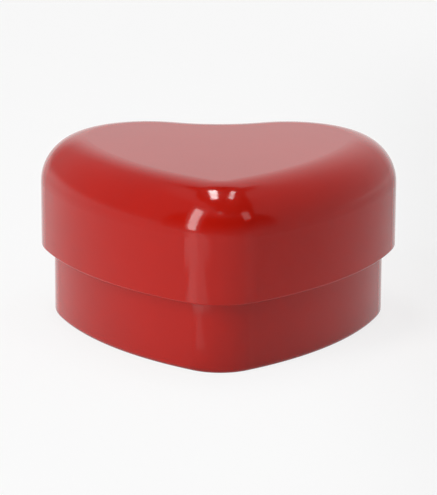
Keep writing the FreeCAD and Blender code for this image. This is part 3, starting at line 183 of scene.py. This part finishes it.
class Look:
    """Node tree of one material, with short calls for the nodes that the materials share."""

    def __init__(self, name):
        self.material = bpy.data.materials.new(name)
        self.material.use_nodes = True
        self.tree = self.material.node_tree
        self.shader = self.tree.nodes["Principled BSDF"]
        coordinates = self.tree.nodes.new("ShaderNodeTexCoord")
        self.place = coordinates.outputs["Object"]

    def link(self, output, target):
        self.tree.links.new(output, target)

    def stretched(self, scale):
        """Object coordinates with a scale for each axis."""
        mapping = self.tree.nodes.new("ShaderNodeMapping")
        mapping.inputs["Scale"].default_value = scale
        self.link(self.place, mapping.inputs["Vector"])
        return mapping.outputs["Vector"]

    def noise(self, scale, detail=2.0, roughness=0.5, stretch=None):
        texture = self.tree.nodes.new("ShaderNodeTexNoise")
        texture.inputs["Scale"].default_value = scale
        texture.inputs["Detail"].default_value = detail
        texture.inputs["Roughness"].default_value = roughness
        place = self.stretched(stretch) if stretch else self.place
        self.link(place, texture.inputs["Vector"])
        return texture.outputs["Fac"]

    def cells(self, scale):
        texture = self.tree.nodes.new("ShaderNodeTexVoronoi")
        texture.inputs["Scale"].default_value = scale
        self.link(self.place, texture.inputs["Vector"])
        return texture.outputs["Distance"]

    def between(self, value, low, high, start=0.3, end=0.7):
        """A number that goes from low to high as a texture goes from start to end."""
        node = self.tree.nodes.new("ShaderNodeMapRange")
        node.inputs["From Min"].default_value = start
        node.inputs["From Max"].default_value = end
        node.inputs["To Min"].default_value = low
        node.inputs["To Max"].default_value = high
        self.link(value, node.inputs["Value"])
        return node.outputs["Result"]

    def colours(self, value, stops):
        """A colour ramp from pairs of position and linear colour."""
        node = self.tree.nodes.new("ShaderNodeValToRGB")
        fill_ramp(node, stops)
        self.link(value, node.inputs["Fac"])
        return node.outputs["Color"]

    def multiplied(self, first, second):
        """Product of two colours."""
        node = self.tree.nodes.new("ShaderNodeMix")
        node.data_type = "RGBA"
        node.blend_type = "MULTIPLY"
        node.inputs["Factor"].default_value = 1.0
        self.link(first, node.inputs["A"])
        self.link(second, node.inputs["B"])
        return node.outputs["Result"]

    def bump(self, height, depth, strength):
        """Relief of a depth in metres."""
        node = self.tree.nodes.new("ShaderNodeBump")
        node.inputs["Strength"].default_value = strength
        node.inputs["Distance"].default_value = depth
        self.link(height, node.inputs["Height"])
        return node.outputs["Normal"]

    def finish(self, **sockets):
        """Links textures to the shader's sockets, sets plain values on them and gives the material."""
        for socket, value in sockets.items():
            target = self.shader.inputs[socket.replace("_", " ")]
            if isinstance(value, bpy.types.NodeSocket):
                self.link(value, target)
            else:
                target.default_value = value
        return self.material


def shades(colour, dark, light):
    """Three stops of one colour for a ramp: darker, plain and lighter."""
    return [
        (0.25, tuple(channel * dark for channel in colour)),
        (0.5, colour),
        (0.75, tuple(min(1.0, channel * light) for channel in colour)),
    ]


def gloss_lacquer(name, colour):
    """High-gloss moulded shell: even colour with a faint cloud, flow waves and hairline scuffs."""
    look = Look(name)
    cloud = look.noise(scale=22.0, detail=3.0)
    scuffs = look.noise(scale=60.0, detail=4.0, roughness=0.7, stretch=(1.0, 6.0, 14.0))
    waves = look.noise(scale=170.0, detail=1.0)
    return look.finish(
        Base_Color=look.colours(cloud, shades(colour, dark=0.95, light=1.04)),
        Roughness=look.between(scuffs, low=0.09, high=0.14, start=0.35, end=0.7),
        IOR=1.36,
        Normal=look.bump(waves, depth=0.02 * MM, strength=0.25),
    )


def satin_plastic(name, colour, roughness, grain, depth):
    """Moulded plastic with a fine spark-eroded grain."""
    look = Look(name)
    cloud = look.noise(scale=35.0, detail=4.0)
    fine = look.noise(scale=grain, detail=2.0, roughness=0.6)
    return look.finish(
        Base_Color=look.colours(cloud, shades(colour, dark=0.88, light=1.08)),
        Roughness=look.between(fine, low=roughness - 0.06, high=roughness + 0.08),
        IOR=1.5,
        Normal=look.bump(fine, depth=depth, strength=0.5),
    )


def metal(name, colour, low, high, stretch, grain=900.0, depth=0.004 * MM):
    """Bare metal between a low and a high roughness, with tool marks drawn out into lines."""
    look = Look(name)
    lines = look.noise(scale=grain, detail=3.0, roughness=0.6, stretch=stretch)
    tarnish = look.noise(scale=120.0, detail=4.0, roughness=0.6)
    return look.finish(
        Base_Color=look.colours(tarnish, shades(colour, dark=0.86, light=1.06)),
        Metallic=1.0,
        Roughness=look.between(lines, low=low, high=high),
        Normal=look.bump(lines, depth=depth, strength=0.6),
    )


def cast_metal(name, colour, roughness):
    """Die-cast metal: grainy skin with soft flow marks."""
    look = Look(name)
    grain = look.noise(scale=1400.0, detail=3.0, roughness=0.65)
    flow = look.noise(scale=90.0, detail=4.0, roughness=0.6)
    return look.finish(
        Base_Color=look.colours(flow, shades(colour, dark=0.82, light=1.1)),
        Metallic=1.0,
        Roughness=look.between(flow, low=roughness - 0.08, high=roughness + 0.1),
        Normal=look.bump(grain, depth=0.02 * MM, strength=0.6),
    )


def flock(name, colour):
    """Short velvet pile: painted shade at the fibre roots, paler fibre ends as painted highlight, and areas
    of painted sheen where the pile lies one way or the other.
    """
    look = Look(name)
    fibres = look.noise(scale=5200.0, detail=2.0, roughness=0.7)
    # Painted sheen: areas of pile made lighter and darker, as pile laid each way would catch the light
    painted_sheen_noise = look.noise(scale=70.0, detail=3.0, roughness=0.55)
    painted_sheen_patches = look.colours(painted_sheen_noise, shades(colour, dark=0.7, light=1.5))
    # Painted shade at the fibre roots and painted highlight on the fibre ends
    painted_fibre_shade = look.colours(fibres, [(0.3, (0.35, 0.35, 0.35)), (0.7, (1.0, 1.0, 1.0))])
    return look.finish(
        Base_Color=look.multiplied(painted_sheen_patches, painted_fibre_shade),
        Roughness=look.between(fibres, low=0.85, high=1.0),
        Sheen_Weight=0.7,
        Sheen_Roughness=0.35,
        Sheen_Tint=PILE_SHEEN,
        Specular_IOR_Level=0.1,
        Normal=look.bump(fibres, depth=0.12 * MM, strength=0.8),
    )


def clear_sheet(name):
    """Clear polished sheet with faint wiping haze."""
    look = Look(name)
    haze = look.noise(scale=45.0, detail=5.0, roughness=0.65, stretch=(1.0, 2.5, 1.0))
    return look.finish(
        Base_Color=look.colours(haze, [(0.3, CLEAR), (0.7, HAZY_CLEAR)]),
        Roughness=look.between(haze, low=0.0, high=0.05, start=0.4, end=0.8),
        Transmission_Weight=1.0,
        IOR=1.49,
    )


def moulded_nylon(name, colour):
    """Milky moulded plastic that lets a little light in."""
    look = Look(name)
    cloud = look.noise(scale=160.0, detail=3.0)
    fine = look.noise(scale=2200.0, detail=2.0)
    return look.finish(
        Base_Color=look.colours(cloud, shades(colour, dark=0.92, light=1.05)),
        Roughness=look.between(fine, low=0.32, high=0.5),
        Subsurface_Weight=0.15,
        Subsurface_Radius=(1.0, 0.9, 0.7),
        Subsurface_Scale=0.6 * MM,
        Normal=look.bump(fine, depth=0.006 * MM, strength=0.5),
    )


def rubber(name, colour):
    """Matt rubber with open pores."""
    look = Look(name)
    pores = look.cells(scale=2600.0)
    cloud = look.noise(scale=300.0, detail=3.0)
    return look.finish(
        Base_Color=look.colours(cloud, shades(colour, dark=0.75, light=1.4)),
        Roughness=look.between(cloud, low=0.75, high=0.92),
        Normal=look.bump(pores, depth=0.03 * MM, strength=0.6),
    )


# Material of each slot of the record
materials = {
    "red_gloss": gloss_lacquer("red_gloss_shell", RED),
    "red_satin": satin_plastic("red_satin_cover", SATIN_RED, roughness=0.46, grain=2600.0, depth=0.03 * MM),
    "flock": flock("burgundy_flock", BURGUNDY),
    "clear": clear_sheet("clear_sheet"),
    "steel": metal("turned_steel", STEEL, low=0.2, high=0.36, stretch=ROUND_X),
    "plated_steel": metal("plated_steel", PLATED_STEEL, low=0.18, high=0.34, stretch=ALONG_X, grain=700.0),
    "spring_steel": metal("spring_steel", SPRING_STEEL, low=0.22, high=0.4, stretch=ROUND_Z, grain=1200.0),
    "comb_steel": metal("ground_comb_steel", COMB_STEEL, low=0.2, high=0.38, stretch=ALONG_Y,
                        grain=1500.0, depth=0.006 * MM),
    "zinc": cast_metal("cast_zinc", ZINC, roughness=0.45),
    "brass": metal("polished_brass", BRASS, low=0.16, high=0.3, stretch=TURNED_FACE, grain=800.0),
    "lead": cast_metal("dull_lead", LEAD, roughness=0.55),
    "nylon": moulded_nylon("white_nylon", NYLON),
    "fan_plastic": moulded_nylon("fan_plastic", FAN_WHITE),
    "black_plastic": satin_plastic("black_button", BUTTON_BLACK, roughness=0.22, grain=1800.0,
                                   depth=0.006 * MM),
    "rubber": rubber("stop_rubber", RUBBER_BLACK),
}

# Nodes whose tool marks run another way than those of their slot
upright_steel = metal("turned_steel_upright", STEEL, low=0.2, high=0.36, stretch=ROUND_Z)
drum_brass = metal("turned_drum_brass", BRASS, low=0.16, high=0.3, stretch=ROUND_X, grain=800.0)
own_materials = {
    "winding_arbor": upright_steel,
    "worm_shaft": upright_steel,
    "bottom_cover_screws": upright_steel,
    "movement_screws": upright_steel,
    "bracket_screws": upright_steel,
    "housing_rivets": upright_steel,
    "cylinder": drum_brass,
    "cylinder_pinion": drum_brass,
    "governor_pinion": drum_brass,
}

for name, node in nodes.items():
    for slot in node.material_slots:
        slot.material = own_materials.get(name, materials[slot.material.name])

# The clear plate lets the light of the lamps through to the movement
nodes["movement_cover"].visible_shadow = False


def mesh_piece(name, points, faces, material):
    """Smooth-shaded mesh object with one material."""
    mesh = bpy.data.meshes.new(name)
    mesh.from_pydata(points, [], faces)
    mesh.validate()
    mesh.update()
    mesh.shade_smooth()
    mesh.set_sharp_from_angle(angle=SHARP_ANGLE)
    mesh.materials.append(material)
    piece = bpy.data.objects.new(name, mesh)
    bpy.context.scene.collection.objects.link(piece)
    return piece


def swept(path, section):
    """Points and faces of a closed section carried along a path, with capped ends.
    Each place of the path is a centre with the directions of the section's two axes."""
    points = []
    for centre, across, up in path:
        points.extend(centre + across * u + up * v for u, v in section)
    size = len(section)
    faces = []
    for step in range(len(path) - 1):
        low = step * size
        for side in range(size):
            beside = (side + 1) % size
            faces.append((low + side, low + beside, low + size + beside, low + size + side))
    faces.append(tuple(reversed(range(size))))
    faces.append(tuple(range(len(points) - size, len(points))))
    return points, faces


def coil_path(axis, steps):
    """Places round an upright axis for a list of (turns, radius, level) steps."""
    path = []
    for turns, radius, level in steps:
        angle = 2 * math.pi * turns
        outward = Vector((math.cos(angle), math.sin(angle), 0))
        path.append((axis + outward * radius + UP * level, outward, UP))
    return path


def wire_section(radius):
    """Round section of a wire."""
    section = []
    for side in range(WIRE_SIDES):
        angle = 2 * math.pi * side / WIRE_SIDES
        section.append((radius * math.cos(angle), radius * math.sin(angle)))
    return section


def make_button_spring():
    """Compression spring under the stop button, with flat seats."""
    low = BUSH_FLANGE_TOP + BUTTON_END_ROOM
    high = BUTTON_BOTTOM - BUTTON_END_ROOM
    steps = []
    for step in range(int(BUTTON_TURNS * WIRE_STEPS_PER_TURN) + 1):
        turns = step / WIRE_STEPS_PER_TURN
        share = (turns - BUTTON_SEAT_TURNS) / (BUTTON_TURNS - 2 * BUTTON_SEAT_TURNS)
        level = low + (high - low) * min(1.0, max(0.0, share))
        steps.append((turns, BUTTON_COIL_RADIUS, level))
    points, faces = swept(coil_path(BUTTON_AXIS, steps), wire_section(BUTTON_WIRE_RADIUS))
    spring = mesh_piece("button_spring", points, faces, materials["spring_steel"])
    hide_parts("plunger_spring")
    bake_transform(spring)


def make_wrap_spring():
    """Wrap spring of the winding clutch on the drive wheel's hub."""
    steps = []
    for step in range(WRAP_TURNS * WIRE_STEPS_PER_TURN + 1):
        turns = step / WIRE_STEPS_PER_TURN
        steps.append((turns, WRAP_COIL_RADIUS, WRAP_BOTTOM + WRAP_PITCH * turns))
    points, faces = swept(coil_path(DRIVE_AXIS, steps), wire_section(WRAP_WIRE_RADIUS))
    spring = mesh_piece("wrap_spring", points, faces, materials["spring_steel"])
    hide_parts("clutch_spring")
    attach(spring, "drive")


def make_mainspring_strip():
    """Flat strip of the mainspring, wound outwards in its housing."""
    steps = []
    for step in range(STRIP_TURNS * STRIP_STEPS_PER_TURN + 1):
        turns = step / STRIP_STEPS_PER_TURN
        steps.append((turns, STRIP_INNER + STRIP_HALF_THICKNESS + STRIP_PITCH * turns, STRIP_BOTTOM))
    section = [(-STRIP_HALF_THICKNESS, 0), (STRIP_HALF_THICKNESS, 0),
               (STRIP_HALF_THICKNESS, STRIP_HEIGHT), (-STRIP_HALF_THICKNESS, STRIP_HEIGHT)]
    points, faces = swept(coil_path(DRIVE_AXIS, steps), section)
    strip = mesh_piece("mainspring_strip", points, faces, materials["spring_steel"])
    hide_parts("mainspring")
    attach(strip, "base")


def pale_paper(name, painted_shade_fades):
    """Matt pale surface, seen nearer to white by the camera, in reflections and through clear parts.
    Each fade takes some of that whiteness away again and darkens the paper there as painted shade."""
    material = bpy.data.materials.new(name)
    material.use_nodes = True
    tree = material.node_tree
    tree.nodes.clear()
    link = tree.links.new

    def combine(operation, first, second):
        node = tree.nodes.new("ShaderNodeMath")
        node.operation = operation
        node.use_clamp = True
        for socket, value in zip(node.inputs, (first, second)):
            if isinstance(value, bpy.types.NodeSocket):
                link(value, socket)
            else:
                socket.default_value = value
        return node.outputs[0]

    split = tree.nodes.new("ShaderNodeSeparateXYZ")
    link(tree.nodes.new("ShaderNodeTexCoord").outputs["Object"], split.inputs[0])

    def ramp(axis, start, end):
        node = tree.nodes.new("ShaderNodeMapRange")
        node.interpolation_type = "SMOOTHSTEP"
        node.inputs["From Min"].default_value = start
        node.inputs["From Max"].default_value = end
        link(split.outputs[axis], node.inputs["Value"])
        return node.outputs["Result"]

    rays = tree.nodes.new("ShaderNodeLightPath").outputs
    seen = combine("ADD", rays["Is Camera Ray"], rays["Is Glossy Ray"])
    whiteness = combine("ADD", seen, rays["Is Transmission Ray"])
    # Painted shade: each fade makes the paper darker where its ramps reach
    for ramps, left in painted_shade_fades:
        loss = 1.0 - left
        for axis, start, end in ramps:
            loss = combine("MULTIPLY", loss, ramp(axis, start, end))
        whiteness = combine("MULTIPLY", whiteness, combine("SUBTRACT", 1.0, loss))
    matt = tree.nodes.new("ShaderNodeBsdfDiffuse")
    matt.inputs["Color"].default_value = (*PAPER, 1.0)
    white = tree.nodes.new("ShaderNodeEmission")
    mix = tree.nodes.new("ShaderNodeMixShader")
    out = tree.nodes.new("ShaderNodeOutputMaterial")
    link(whiteness, mix.inputs["Fac"])
    link(matt.outputs["BSDF"], mix.inputs[1])
    link(white.outputs["Emission"], mix.inputs[2])
    link(mix.outputs["Shader"], out.inputs["Surface"])
    return material


def make_floor():
    """Round floor under the box."""
    points = []
    for side in range(FLOOR_SIDES):
        angle = 2 * math.pi * side / FLOOR_SIDES
        points.append(Vector((FLOOR_RADIUS * math.cos(angle), FLOOR_RADIUS * math.sin(angle), 0)))
    floor = mesh_piece("floor", points, [tuple(range(FLOOR_SIDES))], pale_paper("floor_paper", FLOOR_PAINTED_SHADE_FADES))


def make_backdrop():
    """Curved wall behind the box, open to the front, with a cove at the floor."""
    foot = BACKDROP_RADIUS - COVE_RADIUS
    profile = [(foot, BACKDROP_LIFT)]
    for step in range(1, COVE_STEPS + 1):
        angle = math.radians(90 * step / COVE_STEPS)
        profile.append((foot + COVE_RADIUS * math.sin(angle), COVE_RADIUS * (1 - math.cos(angle))))
    profile.append((BACKDROP_RADIUS, BACKDROP_HEIGHT))
    rows = len(profile)
    points = []
    for column in range(BACKDROP_COLUMNS + 1):
        share = column / BACKDROP_COLUMNS
        angle = math.radians(90 - BACKDROP_HALF_ANGLE + 2 * BACKDROP_HALF_ANGLE * share)
        points.extend(Vector((reach * math.cos(angle), reach * math.sin(angle), level))
                      for reach, level in profile)
    faces = []
    for column in range(BACKDROP_COLUMNS):
        for row in range(rows - 1):
            low = column * rows + row
            faces.append((low, low + 1, low + rows + 1, low + rows))
    backdrop = mesh_piece("backdrop", points, faces, pale_paper("backdrop_paper", BACKDROP_PAINTED_SHADE_FADES))


def make_room():
    """Room in front of and above the stage, in bands of brightness."""
    world = bpy.data.worlds.new("room")
    world.use_nodes = True
    tree = world.node_tree
    outlook = tree.nodes.new("ShaderNodeSeparateXYZ")
    tree.links.new(tree.nodes.new("ShaderNodeTexCoord").outputs["Generated"], outlook.inputs[0])
    bands = tree.nodes.new("ShaderNodeValToRGB")
    fill_ramp(bands, [(height, (level, level, level)) for height, level in ROOM_BANDS])
    tree.links.new(outlook.outputs["Z"], bands.inputs["Fac"])
    tree.links.new(bands.outputs["Color"], tree.nodes["Background"].inputs["Color"])
    bpy.context.scene.world = world


def make_ceiling_panel():
    """Dark panel above the softboxes, which shows in reflections alone."""
    points = [Vector((x, y, PANEL_LEVEL)) for x, y in PANEL_CORNERS]
    material = Look("dark_paper").finish(Base_Color=(*DARK_PAPER, 1.0), Roughness=1.0, Specular_IOR_Level=0.0)
    panel = mesh_piece("ceiling_panel", points, [tuple(range(len(points)))], material)
    panel.visible_camera = False
    panel.visible_diffuse = False
    panel.visible_shadow = False


def lamp(name, place, turn, width, height, brightness):
    """Rectangular lamp that the camera doesn't see, with the brightness of its face."""
    light = bpy.data.lights.new(name, "AREA")
    light.shape = "RECTANGLE"
    light.size = width
    light.size_y = height
    light.energy = brightness * math.pi * width * height
    holder = bpy.data.objects.new(name, light)
    holder.location = place
    holder.rotation_mode = "QUATERNION"
    holder.rotation_quaternion = turn
    holder.visible_camera = False
    bpy.context.scene.collection.objects.link(holder)
    return holder


def softbox(name, place, facing, width, height, brightness, gleam):
    """Lamp that shines along a direction, with a card before it that adds a gleam in reflections alone."""
    turn = facing.to_track_quat("-Z", "Y")
    lamp(name, place, turn, width, height, brightness)
    card = lamp(name + "_gleam", Vector(place) + facing * CARD_GAP, turn, width, height, gleam)
    card.visible_diffuse = False


def heading(azimuth, elevation):
    """Direction from the tip of the lid; azimuth 0 is to the front of it and 90 to the right."""
    turn = math.radians(azimuth)
    lift = math.radians(elevation)
    return Vector((math.sin(turn) * math.cos(lift), -math.cos(turn) * math.cos(lift), math.sin(lift)))


def window(name, azimuth, elevation, wide, tall, brightness, gleam):
    """Softbox aimed at the tip of the lid, as wide and tall as it looks from there in degrees."""
    way = heading(azimuth, elevation)
    width = 2 * WINDOW_DISTANCE * math.tan(math.radians(wide / 2))
    height = 2 * WINDOW_DISTANCE * math.tan(math.radians(tall / 2))
    softbox(name, LID_TIP + way * WINDOW_DISTANCE, -way, width, height, brightness, gleam)


def make_lamps():
    """Two softboxes overhead, windows round the front, light thrown back by the floor and a soft fill."""
    softbox("ceiling_left", place=(-0.1025, 0.115, CEILING), facing=DOWN, width=0.116, height=0.414,
            brightness=9.2, gleam=14.0)
    softbox("ceiling_right", place=(0.187, 0.1115, CEILING), facing=DOWN, width=0.0736, height=0.364,
            brightness=8.6, gleam=3.0)
    window("left_strip", azimuth=-53, elevation=25, wide=17, tall=46, brightness=5.5, gleam=5.05)
    window("left_halo", azimuth=-52, elevation=27, wide=30, tall=52, brightness=0.35, gleam=0.4)
    window("right_window", azimuth=55, elevation=33, wide=13, tall=17, brightness=1.6, gleam=1.0)
    window("front_lamp", azimuth=0, elevation=48, wide=6, tall=5, brightness=2.0, gleam=0.5)
    bounce = lamp("floor_bounce", BOUNCE_PLACE, FACE_UP.to_quaternion(), BOUNCE_SIDE, BOUNCE_SIDE,
                  brightness=0.35)
    bounce.visible_glossy = False
    side = heading(azimuth=105, elevation=8)
    fill = lamp("right_fill", LID_TIP + side * WINDOW_DISTANCE, (-side).to_track_quat("-Z", "Y"),
                FILL_WIDTH, FILL_HEIGHT, brightness=1.4)
    fill.visible_glossy = False


def make_floor_glow():
    """Light of the windows on the floor, in fans that widen away from the tip."""
    for rank, (azimuth, half_angle, first, brightness) in enumerate(GLOW_FANS, 1):
        away = heading(azimuth, 0)
        foot = Vector((LID_TIP.x, LID_TIP.y, rank * CARD_GAP))
        turn = (Matrix.Rotation(math.radians(azimuth), 3, "Z") @ FACE_UP).to_quaternion()
        for near, far in zip(GLOW_STEPS[first:], GLOW_STEPS[first + 1:]):
            width = (near + far) * math.tan(math.radians(half_angle))
            lamp("floor_glow", foot + away * (near + far) / 2, turn, width, far - near, brightness)


def make_camera():
    """Camera at the photograph's viewing angle, aimed a little below its target."""
    back = Vector((math.sin(CAMERA_YAW) * math.cos(CAMERA_ELEVATION),
                   -math.cos(CAMERA_YAW) * math.cos(CAMERA_ELEVATION),
                   math.sin(CAMERA_ELEVATION)))
    place = CAMERA_TARGET + back * CAMERA_DISTANCE
    level = (-back).to_track_quat("-Z", "Y")
    right = level @ Vector((1, 0, 0))
    upward = level @ Vector((0, 1, 0))
    aim = CAMERA_TARGET - upward * AIM_DROP + right * AIM_SIDE
    turned = (aim - place).to_track_quat("-Z", "Y").to_matrix().to_4x4()
    data = bpy.data.cameras.new("camera")
    data.lens = CAMERA_LENS
    data.sensor_width = CAMERA_SENSOR
    camera = bpy.data.objects.new("camera", data)
    camera.matrix_world = Matrix.Translation(place) @ turned @ Matrix.Rotation(CAMERA_ROLL, 4, "Z")
    bpy.context.scene.collection.objects.link(camera)
    bpy.context.scene.camera = camera


make_button_spring()
make_wrap_spring()
make_mainspring_strip()
make_floor()
make_backdrop()
make_room()
make_ceiling_panel()
make_lamps()
make_floor_glow()
make_camera()
bpy.context.scene.view_settings.view_transform = "Standard"

bpy.context.view_layer.update()
